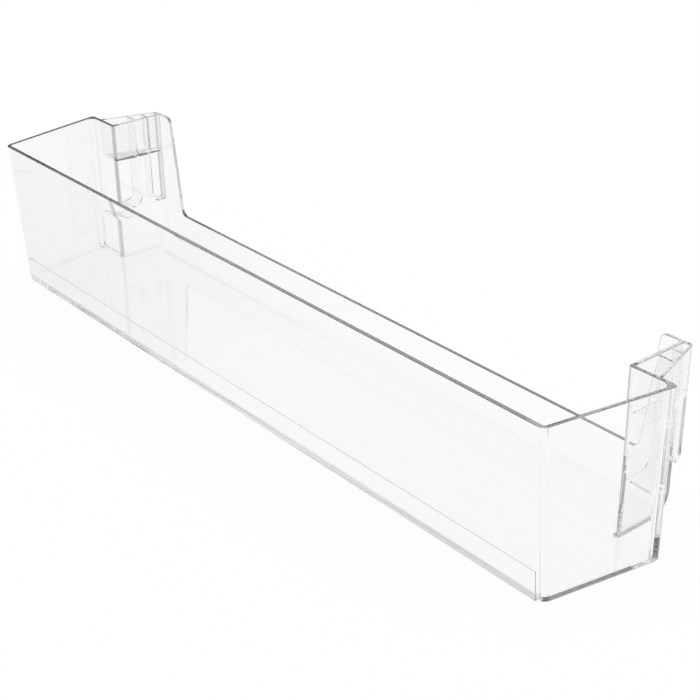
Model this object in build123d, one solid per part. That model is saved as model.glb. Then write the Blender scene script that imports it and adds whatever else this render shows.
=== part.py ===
"""Fridge door shelf: one clear injection-moulded tray that hangs on two lugs of the door's inner liner.

The shelf stands on its own flat base. X runs along the shelf, -Y is the front that faces the kitchen,
+Y is the side against the door, and Z is up. The origin is on the base, under the middle of the shelf.
"""
import os
from math import radians, tan

from build123d import *

# Overall form, in mm
overall_width = 500.0  # across the rear corners of the two end pockets, at the rim, before they are rounded
overall_depth = 109.5  # front rim to the rear face of the back wall
overall_height = 94.5  # base to rim
end_splay = 13.5  # how far each end wall spreads outwards from front to rear
pocket_reach = 25.75  # how far each end pocket stands out past the tongue between them
tongue_reach = 36.5  # how far the tongue goes back, between the door's side ledges, past the end pockets
front_lean = 5.7  # how far the front wall comes forward from base to rim
draft_angle = 0.3  # mould release on the other upright walls, degrees

# Walls, in mm
wall = 2.2  # upright walls
floor_thickness = 2.5
lip_height = 10.0  # stretch below the front rim where the front wall thickens
lip_growth = 0.45  # extra thickness at the front rim
front_corner_radius = 5.0  # outer radius of the upright front corners
inner_front_radius = 2.0  # inner radius of the same corners
rear_corner_radius = 2.5  # outer radius of the upright rear corners of the end pockets
inner_rear_radius = 4.2  # inner radius of the same corners
crease_radius = 0.8  # outer radius where an end pocket meets the tongue
inner_crease_radius = 1.2  # inner radius of the same creases
base_radius = 2.0  # outer radius around the base
floor_radius = 1.5  # inner radius around the floor
heel_radius = 11.0  # outer radius under the back wall
rim_radius = 0.4  # edges of the rim, the ears and the rail

# Back wall, in mm
rail_height = 28.0  # base to the top of the low back rail
ear_width = 13.75  # from the tongue's outer face to the inner edge of an ear of the back wall, at the rim
ear_flare = 9.5  # how much wider an ear is at the rail
ear_radius = 4.0  # rounded top corner of an ear
ear_foot_radius = 5.0  # hollow corner between an ear and the rail

# Band along the foot of the front wall, in mm
band_height = 16.5  # base to the top edge of the band
band_end = 4.2  # from the front corner to the end of the band
band_rise = 0.5  # how far the band stands proud of the wall

# Hanging brackets beside the tongue, in mm
bracket_foot = 33.5  # base to the lower end of a bracket
bracket_front_reach = 15.8  # from the tongue to the bracket's outer face, at the end pocket
bracket_rear_reach = 4.0  # the same, at the rear face of the back wall
bracket_corner = 3.0  # rounded upright corner at the rear
plate = 1.6  # bracket walls and ribs
mouth_chamfer = 0.3  # broken edge around the top of each pocket
web_height = 70.5  # base to the top of the web that carries the shelf on the lug
web_thickness = 2.0
lug_slot = 8.0  # clear width between the two ribs that guide the lug
lug_slot_setback = 17.1  # from the end pocket to the slot
slot_front_flare = 7.0  # radius of the slot's mouth, towards the front
slot_rear_flare = 5.0  # radius of the slot's mouth, towards the rear

# Places worked out from the dimensions above
front_y = -overall_depth / 2
rear_y = overall_depth / 2
pocket_y = rear_y - tongue_reach
pocket_x = overall_width / 2
front_x = pocket_x - end_splay
tongue_x = pocket_x - pocket_reach
ear_top_x = tongue_x - ear_width
ear_foot_x = ear_top_x - ear_flare
web_underside = web_height - web_thickness
lean_run = (front_lean - lip_growth) / overall_height  # forward lean of the front wall, per mm of height
over = 20.0  # how far cutting shapes run past the part


def plan_outline(inset):
    """Outline of the shelf at the rim, drawn in by inset; its front and back are left long."""
    slope = end_splay / (pocket_y - front_y)
    end_inset = inset * (1 + slope**2) ** 0.5
    notch_y = pocket_y - inset
    right = [
        (front_x - end_inset - slope * over, front_y - over),
        (front_x - end_inset + slope * (notch_y - front_y), notch_y),
        (tongue_x - inset, notch_y),
        (tongue_x - inset, rear_y + over),
    ]
    left = [(-x, y) for x, y in reversed(right)]
    return make_face(Polyline(*right, *left, close=True))


def side_profile(inset, foot, heel, lip):
    """Section across the shelf, drawn in by inset: leaning front, upright back and rounded heel."""
    back_run = tan(radians(draft_angle))
    front_inset = inset * (1 + lean_run**2) ** 0.5
    back_inset = inset * (1 + back_run**2) ** 0.5
    top = overall_height + over

    def front_at(z):
        return front_y + front_lean - lean_run * z + front_inset

    def back_at(z):
        return rear_y - back_run * (overall_height - z) - back_inset

    if lip:
        lip_foot = (front_at(overall_height - lip_height), overall_height - lip_height)
        lip_top = (front_y, overall_height)
        front_lines = [
            Line((front_at(foot), foot), lip_foot),
            TangentArc(lip_foot, lip_top, tangent=(-lean_run, 1)),
            Line(lip_top, (front_y, top)),
        ]
    else:
        front_lines = [Line((front_at(foot), foot), (front_at(top), top))]
    rest = Polyline(front_lines[-1] @ 1, (back_at(top), top), (back_at(foot), foot), (front_at(foot), foot))
    section = make_face([*front_lines, *rest.edges()])
    heel_corner = section.vertices().group_by(Axis.Y)[0].sort_by(Axis.X)[-1]
    return fillet(heel_corner, heel)


def drafted_prism(outline, foot):
    """Solid from foot to rim that is as wide as the outline at the rim and narrower below, by the draft."""
    prism = extrude(Pos(0, 0, foot) * outline, overall_height - foot)
    walls = prism.faces().filter_by(Axis.Z, reverse=True)
    return draft(walls, Plane.XY.offset(overall_height), -draft_angle)


def drafted_block(inset, foot, heel, lip):
    """Solid between the rim and foot: the plan outline with draft, cut to the side profile."""
    section = extrude(Plane.YZ * side_profile(inset, foot, heel, lip), overall_width, both=True)
    return drafted_prism(plan_outline(inset), foot) & section


def upright_edges(block, x, y, slack):
    """Upright corner edges of a block that stand near x (either side) and y."""
    found = ShapeList()
    for edge in block.edges():
        middle = edge @ 0.5
        rises = abs((edge @ 1 - edge @ 0).Z) > wall
        if rises and abs(abs(middle.X) - x) < slack and abs(middle.Y - y) < slack:
            found.append(edge)
    return found


def foot_edges(block, foot):
    """Edges around a block's foot, with the heel's two side edges and the upright rear corners."""
    flat = [
        edge
        for edge in block.edges()
        if abs((edge @ 0).Z - foot) < 0.01 and abs((edge @ 1).Z - foot) < 0.01
    ]
    heel_line = max(flat, key=lambda edge: (edge @ 0.5).Y)
    rear = [
        edge
        for edge in block.edges()
        if abs((edge @ 0.5).X) > tongue_x - 3 * wall
        and (edge @ 0.5).Y > pocket_y + wall
        and edge not in flat
        and (edge @ 0.5).Z < overall_height - 0.01
    ]
    return ShapeList([edge for edge in flat if edge is not heel_line] + rear)


def rounded_block(inset, foot, heel, lip, front_corner, rear_corner, crease, foot_radius):
    """A drafted block with its upright corners, its inward creases and its foot rounded."""
    block = drafted_block(inset, foot, heel, lip)
    front_corners = upright_edges(block, front_x, front_y + front_lean / 2, 3 * wall)
    block = fillet(front_corners, front_corner)
    rear_corners = upright_edges(block, pocket_x, pocket_y, 2 * wall)
    block = fillet(rear_corners, rear_corner)
    creases = upright_edges(block, tongue_x, pocket_y, 2 * wall)
    block = fillet(creases, crease)
    return fillet(foot_edges(block, foot), foot_radius)


def back_opening():
    """Space above the rail, between the two ears of the back wall."""
    top_x = ear_top_x + over * ear_flare / (overall_height - rail_height)
    top_z = overall_height + over
    outline = Polyline(
        (-ear_foot_x, rail_height),
        (ear_foot_x, rail_height),
        (top_x, top_z),
        (-top_x, top_z),
        close=True,
    )
    back_plane = Plane(origin=(0, rear_y + over, 0), x_dir=(1, 0, 0), z_dir=(0, -1, 0))
    return extrude(back_plane * make_face(outline), over + 3 * wall)


def back_corners(shell, x, z):
    """The two short edges through the back wall at x (either side) and z."""
    corners = ShapeList()
    for edge in shell.edges():
        middle = edge @ 0.5
        if abs(abs(middle.X) - x) < 0.1 and abs(middle.Z - z) < 0.1 and middle.Y > rear_y - 2 * wall:
            corners.append(edge)
    return corners


def front_band():
    """Square-edged pad along the foot of the leaning front wall, rooted deep in it."""
    foot_y = front_y + front_lean - band_rise
    top_y = foot_y - lean_run * band_height
    root_y = foot_y + base_radius + 2 * wall
    outline = Polyline((foot_y, 0), (top_y, band_height), (root_y, band_height), (root_y, 0), close=True)
    return extrude(Plane.YZ * make_face(outline), front_x - band_end, both=True)


def bracket():
    """Right-hand bracket: three open pockets above the web, the lug's slot and two recesses below it."""
    taper = (bracket_front_reach - bracket_rear_reach) / (rear_y - pocket_y)
    plate_inset = plate * (1 + taper**2) ** 0.5
    rear_face = rear_y - wall
    slot_front = pocket_y + lug_slot_setback
    slot_rear = slot_front + lug_slot

    def outer_at(y):
        return tongue_x + bracket_rear_reach + taper * (rear_y - y)

    root_x = tongue_x - 2 * wall
    root_y = pocket_y - 2 * wall
    outline = make_face(
        Polyline(
            (root_x, root_y),
            (outer_at(root_y), root_y),
            (outer_at(rear_y), rear_y),
            (root_x, rear_y),
            close=True,
        )
    )
    rear_corner = outline.vertices().sort_by(Axis.Y)[-2:].sort_by(Axis.X)[-1]
    outline = fillet(rear_corner, bracket_corner)
    envelope = drafted_prism(outline, bracket_foot)

    pocket_outline = make_face(
        Polyline(
            (tongue_x, pocket_y),
            (outer_at(pocket_y) - plate_inset, pocket_y),
            (outer_at(rear_face) - plate_inset, rear_face),
            (tongue_x, rear_face),
            close=True,
        )
    )
    for rib_y in (slot_front - plate / 2, slot_rear + plate / 2):
        pocket_outline -= Pos(tongue_x, rib_y) * Rectangle(2 * over, plate)
    pockets = [drafted_prism(opening, web_height) for opening in pocket_outline.faces()]

    recess_foot = bracket_foot + plate
    recess_height = web_underside - recess_foot
    front_recess_run = slot_front - plate - pocket_y
    front_recess = Pos(pocket_y + front_recess_run / 2, recess_foot + recess_height / 2) * Rectangle(
        front_recess_run, recess_height
    )
    front_toe = front_recess.vertices().group_by(Axis.Y)[0].sort_by(Axis.X)[-1]
    front_recess = fillet(front_toe, slot_front_flare - plate)
    rear_recess_run = rear_face - slot_rear - plate
    rear_recess = Pos(rear_face - rear_recess_run / 2, recess_foot + recess_height / 2) * Rectangle(
        rear_recess_run, recess_height
    )
    rear_toe = rear_recess.vertices().group_by(Axis.Y)[0].sort_by(Axis.X)[0]
    rear_recess = fillet(rear_toe, slot_rear_flare - plate)
    mouth_front = (slot_front - slot_front_flare, bracket_foot)
    mouth_rear = (slot_rear + slot_rear_flare, bracket_foot)
    neck_front = (slot_front, bracket_foot + slot_front_flare)
    neck_rear = (slot_rear, bracket_foot + slot_rear_flare)
    slot = make_face(
        [
            RadiusArc(mouth_front, neck_front, -slot_front_flare),
            Line(neck_front, (slot_front, web_underside)),
            Line((slot_front, web_underside), (slot_rear, web_underside)),
            Line((slot_rear, web_underside), neck_rear),
            RadiusArc(neck_rear, mouth_rear, -slot_rear_flare),
            Line(mouth_rear, mouth_front),
        ]
    )
    tongue_plane = Plane.YZ.offset(tongue_x)
    sideways = [extrude(tongue_plane * outline, 2 * over) for outline in (front_recess, rear_recess, slot)]
    return envelope - pockets - sideways


def rim_face(body):
    """Flat top of the rim: its outer wire runs around the wall, its inner wires around the pockets."""
    return body.faces().filter_by(Axis.Z).sort_by(Axis.Z)[-1]


def door_shelf():
    """The whole moulding: outer block and brackets, hollowed, with the back wall cut down to the rail."""
    body = rounded_block(
        inset=0,
        foot=0,
        heel=heel_radius,
        lip=True,
        front_corner=front_corner_radius,
        rear_corner=rear_corner_radius,
        crease=crease_radius,
        foot_radius=base_radius,
    )
    body += front_band()
    right_bracket = bracket()
    body += right_bracket
    body += mirror(right_bracket, about=Plane.YZ)
    body -= rounded_block(
        inset=wall,
        foot=floor_thickness,
        heel=heel_radius - wall,
        lip=False,
        front_corner=inner_front_radius,
        rear_corner=inner_rear_radius,
        crease=inner_crease_radius,
        foot_radius=floor_radius,
    )
    body -= back_opening()
    body = fillet(back_corners(body, ear_top_x, overall_height), ear_radius)
    body = fillet(back_corners(body, ear_foot_x, rail_height), ear_foot_radius)
    body = fillet(rim_face(body).outer_wire().edges(), rim_radius)
    return chamfer(rim_face(body).inner_wires().edges(), mouth_chamfer)


shelf = door_shelf()
os.makedirs("parts", exist_ok=True)
export_step(shelf, "parts/door_shelf.step")
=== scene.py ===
"""Fridge door shelf: one clear moulding on a plain pale floor, seen from above its right front corner."""
from math import cos, radians, sin

import bpy
from mathutils import Matrix, Vector


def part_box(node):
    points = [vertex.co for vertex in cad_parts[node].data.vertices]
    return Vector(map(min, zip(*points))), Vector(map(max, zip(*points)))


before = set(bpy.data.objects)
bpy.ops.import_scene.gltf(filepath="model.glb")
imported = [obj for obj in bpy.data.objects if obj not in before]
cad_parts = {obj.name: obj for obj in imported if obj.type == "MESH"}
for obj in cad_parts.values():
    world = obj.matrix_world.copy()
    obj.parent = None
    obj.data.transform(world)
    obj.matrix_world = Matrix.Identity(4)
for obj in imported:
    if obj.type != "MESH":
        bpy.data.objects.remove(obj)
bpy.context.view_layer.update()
scene = bpy.context.scene


# The shelf: a tray with two hanging brackets, made of clear polystyrene (PS).
# It is injection moulded in one shot in a polished steel mould, so its walls are glass-clear,
# with the faint swirl of the melt's flow in them and a few hairline scuffs from handling.
MM = 0.001
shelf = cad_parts["door_shelf"]
shelf_back, shelf_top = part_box("door_shelf")[1][1:]


def linear(hex_colour):
    """An sRGB hex colour as the linear red, green, blue and alpha that a shader takes."""
    parts = [int(hex_colour[i : i + 2], 16) / 255 for i in (1, 3, 5)]
    return [p / 12.92 if p <= 0.04045 else ((p + 0.055) / 1.055) ** 2.4 for p in parts] + [1.0]


def add(tree, kind, settings=None, inputs=None, links=None):
    """A new node with its settings, its input values, and links from outputs or from nodes' first outputs."""
    node = tree.nodes.new(kind)
    for name, value in (settings or {}).items():
        setattr(node, name, value)
    for name, value in (inputs or {}).items():
        node.inputs[name].default_value = value
    for name, source in (links or {}).items():
        output = source.outputs[0] if isinstance(source, bpy.types.Node) else source
        tree.links.new(output, node.inputs[name])
    return node


# Clear polystyrene, moulded against polished steel: almost no colour of its own, sharp reflections,
# patches of slight haze, a slow ripple where the melt flowed, and a few scuffs.
# The rims, the ledge of the front band and two upright edges at each end carry painted shade, a dark grey
# mixed into the colour:
# thick clear edges look dark in a room, and the white surround alone would leave them pale.
CLEAR, GREY_SHADE, PAINTED_SHADE = "#FDFDFE", "#F8F8F8", "#3C3E48"
DEPTH_COLOUR = "#B9BABE"
DEPTH_DENSITY = 2.5
POLYSTYRENE_IOR = 1.59
FAR_END = -220 * MM
clear_ps = bpy.data.materials.new("clear_polystyrene")
clear_ps.use_nodes = True
tree = clear_ps.node_tree
tree.nodes.clear()
position = add(tree, "ShaderNodeTexCoord").outputs["Object"]
place = add(tree, "ShaderNodeSeparateXYZ", links={"Vector": position}).outputs
either_side = add(tree, "ShaderNodeMath", {"operation": "ABSOLUTE"}, links={0: place["X"]})
normal = add(tree, "ShaderNodeNewGeometry").outputs["Normal"]
upward = add(tree, "ShaderNodeSeparateXYZ", links={"Vector": normal}).outputs["Z"]
far_end = add(
    tree,
    "ShaderNodeMapRange",
    inputs={"From Min": 0.0, "From Max": FAR_END},
    links={"Value": place["X"]},
)

# Painted shade on the rims: the tray's at its top, and the back rail's and ears' in the back wall above its
# heel.
# The painted shade is a little weaker towards the right, and weaker again round the right end.
# It comes in over their rounding: ROUND_START and ROUND_FULL say how far the surface faces up, from 0 to 1.
FADE = 0.5 * MM
RIM_DROP = 0.3 * MM
BACK_INSET = 2.8 * MM
HEEL_LEVEL = 20 * MM
ROUND_START, ROUND_FULL = 0.05, 0.35
RIGHT_END = 236 * MM
END_FADE = 12 * MM
RIGHT_TONE, END_TONE = 0.95, 0.75
rim_level = shelf_top - RIM_DROP
back_face = shelf_back - BACK_INSET
right_tone = add(
    tree,
    "ShaderNodeMapRange",
    inputs={
        "From Min": RIGHT_END - END_FADE,
        "From Max": RIGHT_END,
        "To Min": RIGHT_TONE,
        "To Max": END_TONE,
    },
    links={"Value": place["X"]},
)
rim_strength = add(tree, "ShaderNodeMapRange", links={"Value": far_end, "To Min": right_tone})
rounded = add(
    tree,
    "ShaderNodeMapRange",
    inputs={"From Min": ROUND_START, "From Max": ROUND_FULL},
    links={"Value": upward, "To Max": rim_strength},
)
tray_rim = add(
    tree,
    "ShaderNodeMapRange",
    inputs={"From Min": rim_level - FADE, "From Max": rim_level},
    links={"Value": place["Z"]},
)
above_heel = add(
    tree,
    "ShaderNodeMapRange",
    inputs={"From Min": HEEL_LEVEL, "From Max": HEEL_LEVEL + FADE},
    links={"Value": place["Z"]},
)
back_rim = add(
    tree,
    "ShaderNodeMapRange",
    inputs={"From Min": back_face - FADE, "From Max": back_face},
    links={"Value": place["Y"], "To Max": above_heel},
)
# Painted shade mask for the rims.
rims = add(tree, "ShaderNodeMath", {"operation": "MAXIMUM"}, links={0: tray_rim, 1: back_rim})
edge = add(tree, "ShaderNodeMath", {"operation": "MULTIPLY"}, links={0: rounded, 1: rims})

# The brackets' rims get less painted shade: about half on their rounding, and none on their flat tops.
BRACKET_START = 20 * MM
BRACKET_SIDE = 218 * MM
BRACKET_FADE = 2 * MM
EAR_FADE = 10 * MM
FLAT_START, FLAT_FULL = 0.90, 0.99
BRACKET_CLEAR = 0.55
beside_tongue = add(
    tree,
    "ShaderNodeMapRange",
    inputs={"From Min": BRACKET_SIDE - EAR_FADE, "From Max": BRACKET_SIDE},
    links={"Value": either_side},
)
bracket = add(
    tree,
    "ShaderNodeMapRange",
    inputs={"From Min": BRACKET_START, "From Max": BRACKET_START + BRACKET_FADE},
    links={"Value": place["Y"], "To Max": beside_tongue},
)
clear_top = add(
    tree,
    "ShaderNodeMapRange",
    inputs={"From Min": FLAT_START, "From Max": FLAT_FULL, "To Min": BRACKET_CLEAR},
    links={"Value": upward},
)
spared = add(tree, "ShaderNodeMath", {"operation": "MULTIPLY"}, links={0: bracket, 1: clear_top})
# Painted shade on the rims, less of it on the brackets.
rim_shade = add(tree, "ShaderNodeMapRange", inputs={"To Max": 0.0}, links={"Value": spared, "To Min": edge})

# Painted shade along two upright edges at each end, as lines through the plan: the crease where the end
# pocket turns into the tongue, and the bracket's rear corner.
CREASE = (222.1 * MM, 16.1 * MM, 0)
BRACKET_CORNER = (228.2 * MM, 53.7 * MM, 0)
UPRIGHT_CORE, UPRIGHT_REACH = 1.3 * MM, 2.1 * MM
CREASE_TONE, CORNER_TONE = 0.65, 0.5
in_plan = add(tree, "ShaderNodeCombineXYZ", links={"X": either_side, "Y": place["Y"]})
rim_and_upright_shade = rim_shade
for line, full_tone in ((CREASE, CREASE_TONE), (BRACKET_CORNER, CORNER_TONE)):
    away = add(tree, "ShaderNodeVectorMath", {"operation": "DISTANCE"}, inputs={1: line}, links={0: in_plan})
    upright = add(
        tree,
        "ShaderNodeMapRange",
        inputs={"From Min": UPRIGHT_REACH, "From Max": UPRIGHT_CORE, "To Max": full_tone},
        links={"Value": away.outputs["Value"]},
    )
    rim_and_upright_shade = add(
        tree,
        "ShaderNodeMath",
        {"operation": "MAXIMUM"},
        links={0: rim_and_upright_shade, 1: upright},
    )

# Painted shade on the ledge on top of the band along the foot of the front wall.
BAND_TOP = 16.5 * MM
BAND_BACK = -40 * MM
LEDGE_TONE = 0.6
LEDGE_START, LEDGE_FULL = 0.7, 0.9
at_ledge = add(
    tree,
    "ShaderNodeMath",
    {"operation": "COMPARE"},
    inputs={1: BAND_TOP, 2: FADE},
    links={0: place["Z"]},
)
in_front = add(
    tree,
    "ShaderNodeMapRange",
    inputs={"From Min": BAND_BACK + FADE, "From Max": BAND_BACK, "To Max": LEDGE_TONE},
    links={"Value": place["Y"]},
)
facing_up = add(
    tree,
    "ShaderNodeMapRange",
    inputs={"From Min": LEDGE_START, "From Max": LEDGE_FULL},
    links={"Value": upward, "To Max": in_front},
)
ledge = add(tree, "ShaderNodeMath", {"operation": "MULTIPLY"}, links={0: at_ledge, 1: facing_up})
# All the painted shade together: rims, uprights and ledge.
shade_mask = add(tree, "ShaderNodeMath", {"operation": "MAXIMUM"}, links={0: rim_and_upright_shade, 1: ledge})

# Painted shade: the plastic is tinted a shade greyer towards the far end, where the floor seen through it lay
# dimmer, and in both brackets alike.
BRACKET_GREY = 0.8
greying_mask = add(
    tree,
    "ShaderNodeMapRange",
    inputs={"To Max": BRACKET_GREY},
    links={"Value": bracket, "To Min": far_end},
)
tint = add(
    tree,
    "ShaderNodeMixRGB",
    inputs={"Color1": linear(CLEAR), "Color2": linear(GREY_SHADE)},
    links={"Fac": greying_mask},
)
# Painted shade: the dark grey is mixed into the plastic's colour wherever the shade mask reaches.
tint_with_shade = add(tree, "ShaderNodeMixRGB", inputs={"Color2": linear(PAINTED_SHADE)}, links={"Fac": shade_mask, "Color1": tint})

# Gloss: hazy patches, and scuffs about ten times as wide as real hairlines, so that they show.
HAZE = 18 * MM
HAZE_DETAIL = 3.0
HAZE_START, HAZE_FULL = 0.35, 0.75
POLISHED, HAZED = 0.004, 0.02
SCUFF_LENGTH, SCUFF_WIDTH = 30 * MM, 1.2 * MM
SCUFF_TURN = (0.3, 0.25, 0.4)
SCUFF_DETAIL = 1.0
SCUFF_START, SCUFF_FULL = 0.70, 0.78
SCUFFED = 0.06
haze = add(
    tree,
    "ShaderNodeTexNoise",
    inputs={"Scale": 1 / HAZE, "Detail": HAZE_DETAIL},
    links={"Vector": position},
)
gloss = add(
    tree,
    "ShaderNodeMapRange",
    inputs={"From Min": HAZE_START, "From Max": HAZE_FULL, "To Min": POLISHED, "To Max": HAZED},
    links={"Value": haze},
)
stretched = add(
    tree,
    "ShaderNodeMapping",
    inputs={"Scale": (1 / SCUFF_LENGTH, 1 / SCUFF_WIDTH, 1 / SCUFF_WIDTH), "Rotation": SCUFF_TURN},
    links={"Vector": position},
)
grain = add(
    tree,
    "ShaderNodeTexNoise",
    inputs={"Scale": 1.0, "Detail": SCUFF_DETAIL},
    links={"Vector": stretched},
)
scuffs = add(
    tree,
    "ShaderNodeMapRange",
    inputs={"From Min": SCUFF_START, "From Max": SCUFF_FULL, "To Max": SCUFFED},
    links={"Value": grain},
)
roughness = add(tree, "ShaderNodeMath", {"operation": "ADD"}, links={0: gloss, 1: scuffs})

# Ripple: the swirls of the melt, about 60 mm apart and a fiftieth of a millimetre high.
SWIRL = 60 * MM
SWIRL_DETAIL, SWIRL_TWIST = 1.0, 1.5
RIPPLE = 0.02 * MM
swirl = add(
    tree,
    "ShaderNodeTexNoise",
    inputs={"Scale": 1 / SWIRL, "Detail": SWIRL_DETAIL, "Distortion": SWIRL_TWIST},
    links={"Vector": position},
)
ripple = add(tree, "ShaderNodeBump", inputs={"Strength": 1.0, "Distance": RIPPLE}, links={"Height": swirl})
body = add(
    tree,
    "ShaderNodeBsdfPrincipled",
    inputs={"IOR": POLYSTYRENE_IOR, "Transmission Weight": 1.0},
    links={"Base Color": tint_with_shade, "Roughness": roughness, "Normal": ripple},
)
depth = add(
    tree,
    "ShaderNodeVolumeAbsorption",
    inputs={"Color": linear(DEPTH_COLOUR), "Density": DEPTH_DENSITY},
)
add(tree, "ShaderNodeOutputMaterial", links={"Surface": body, "Volume": depth})
shelf.data.materials.clear()
shelf.data.materials.append(clear_ps)


# The floor: a wide white sweep, painted matt. It shows white to the lens and through clear plastic,
# and the part of it that the surround lights keeps the shelf's shadow.
WHITE = "#FFFFFF"
FLOOR_REACH = 4.0
FLOOR_GAP = 0.3 * MM
SHADOW_SHARE = 0.06
bpy.ops.mesh.primitive_plane_add(size=2 * FLOOR_REACH, location=(0, 0, -FLOOR_GAP))
floor = bpy.context.object
floor.name = "floor"
white_paint = bpy.data.materials.new("matt_white_paint")
white_paint.use_nodes = True
tree = white_paint.node_tree
tree.nodes.clear()
paint = add(tree, "ShaderNodeBsdfDiffuse", inputs={"Color": linear(WHITE)})
glow = add(tree, "ShaderNodeEmission", inputs={"Color": linear(WHITE), "Strength": 1.0})
ray = add(tree, "ShaderNodeLightPath").outputs
seen_or_mirrored = add(
    tree,
    "ShaderNodeMath",
    {"operation": "MAXIMUM"},
    links={0: ray["Is Camera Ray"], 1: ray["Is Glossy Ray"]},
)
seen = add(
    tree,
    "ShaderNodeMath",
    {"operation": "MAXIMUM"},
    links={0: seen_or_mirrored, 1: ray["Is Transmission Ray"]},
)
share = add(tree, "ShaderNodeMath", {"operation": "MULTIPLY"}, inputs={1: 1 - SHADOW_SHARE}, links={0: seen})
surface = add(tree, "ShaderNodeMixShader", links={0: share, 1: paint, 2: glow})
add(tree, "ShaderNodeOutputMaterial", links={"Surface": surface})
floor.data.materials.append(white_paint)


# The light: a white tent all round, even and soft, so that the plastic shows clear on the white floor.
# Its dimmer ceiling and one low dark card, behind the shelf and to its left, give the plastic its contrast:
# they show only in what it mirrors and bends.
# The edges of both are given on a direction of length 1.
CEILING = 0.7
CEILING_START, CEILING_FULL = 0.60, 0.80
CARD_AZIMUTH = radians(145)
CARD_EDGE, CARD_FULL = 0.4, 0.6
CARD_TOP = 0.385
CARD_FADE = 0.03
CARD_DARK = 0.8
world = bpy.data.worlds.new("studio")
world.use_nodes = True
scene.world = world
tree = world.node_tree
tree.nodes.clear()
direction = add(tree, "ShaderNodeTexCoord").outputs["Generated"]
steepness = add(tree, "ShaderNodeSeparateXYZ", links={"Vector": direction}).outputs["Z"]
tent = add(
    tree,
    "ShaderNodeMapRange",
    {"interpolation_type": "SMOOTHSTEP"},
    inputs={"From Min": CEILING_START, "From Max": CEILING_FULL, "To Min": 1.0, "To Max": CEILING},
    links={"Value": steepness},
)
towards_card = add(
    tree,
    "ShaderNodeVectorMath",
    {"operation": "DOT_PRODUCT"},
    inputs={1: (cos(CARD_AZIMUTH), sin(CARD_AZIMUTH), 0)},
    links={0: direction},
).outputs["Value"]
card_sides = add(
    tree,
    "ShaderNodeMapRange",
    {"interpolation_type": "SMOOTHSTEP"},
    inputs={"From Min": CARD_EDGE, "From Max": CARD_FULL},
    links={"Value": towards_card},
)
card_top = add(
    tree,
    "ShaderNodeMapRange",
    {"interpolation_type": "SMOOTHSTEP"},
    inputs={"From Min": CARD_TOP - CARD_FADE, "From Max": CARD_TOP, "To Min": CARD_DARK, "To Max": 0.0},
    links={"Value": steepness},
)
card = add(tree, "ShaderNodeMath", {"operation": "MULTIPLY"}, links={0: card_sides, 1: card_top})
studio = add(tree, "ShaderNodeMath", {"operation": "SUBTRACT"}, links={0: tent, 1: card})
ray = add(tree, "ShaderNodeLightPath").outputs
in_plastic = add(
    tree,
    "ShaderNodeMath",
    {"operation": "MAXIMUM"},
    links={0: ray["Is Glossy Ray"], 1: ray["Is Transmission Ray"]},
)
brightness = add(tree, "ShaderNodeMix", inputs={"A": 1.0}, links={"Factor": in_plastic, "B": studio})
surround = add(tree, "ShaderNodeBackground", inputs={"Color": linear(WHITE)}, links={"Strength": brightness})
add(tree, "ShaderNodeOutputWorld", links={"Surface": surround})


# The camera: it looks down on the front and the right end of the shelf from a short distance.
# Light runs a long way inside the floor plate before it leaves, and with fewer bounces the edges turn black.
AIM = Vector((31.7, 8.0, 30.5)) * MM
AZIMUTH, ELEVATION, ROLL = radians(50.81), radians(27.48), radians(-0.96)
DISTANCE = 836.3 * MM
SENSOR, LENS = 36.0, 76.95
BOUNCES = 128
unrolled_right = Vector((cos(AZIMUTH), sin(AZIMUTH), 0))
back = Vector((sin(AZIMUTH) * cos(ELEVATION), -cos(AZIMUTH) * cos(ELEVATION), sin(ELEVATION)))
unrolled_up = back.cross(unrolled_right)
right = unrolled_right * cos(ROLL) + unrolled_up * sin(ROLL)
up = unrolled_up * cos(ROLL) - unrolled_right * sin(ROLL)
camera = bpy.data.objects.new("camera", bpy.data.cameras.new("camera"))
scene.collection.objects.link(camera)
turn = Matrix((right, up, back)).transposed().to_4x4()
camera.matrix_world = Matrix.Translation(AIM + DISTANCE * back) @ turn
camera.data.sensor_width = SENSOR
camera.data.lens = LENS
scene.camera = camera
scene.view_settings.view_transform = "Standard"
scene.cycles.max_bounces = BOUNCES
scene.cycles.transmission_bounces = BOUNCES
scene.cycles.glossy_bounces = BOUNCES
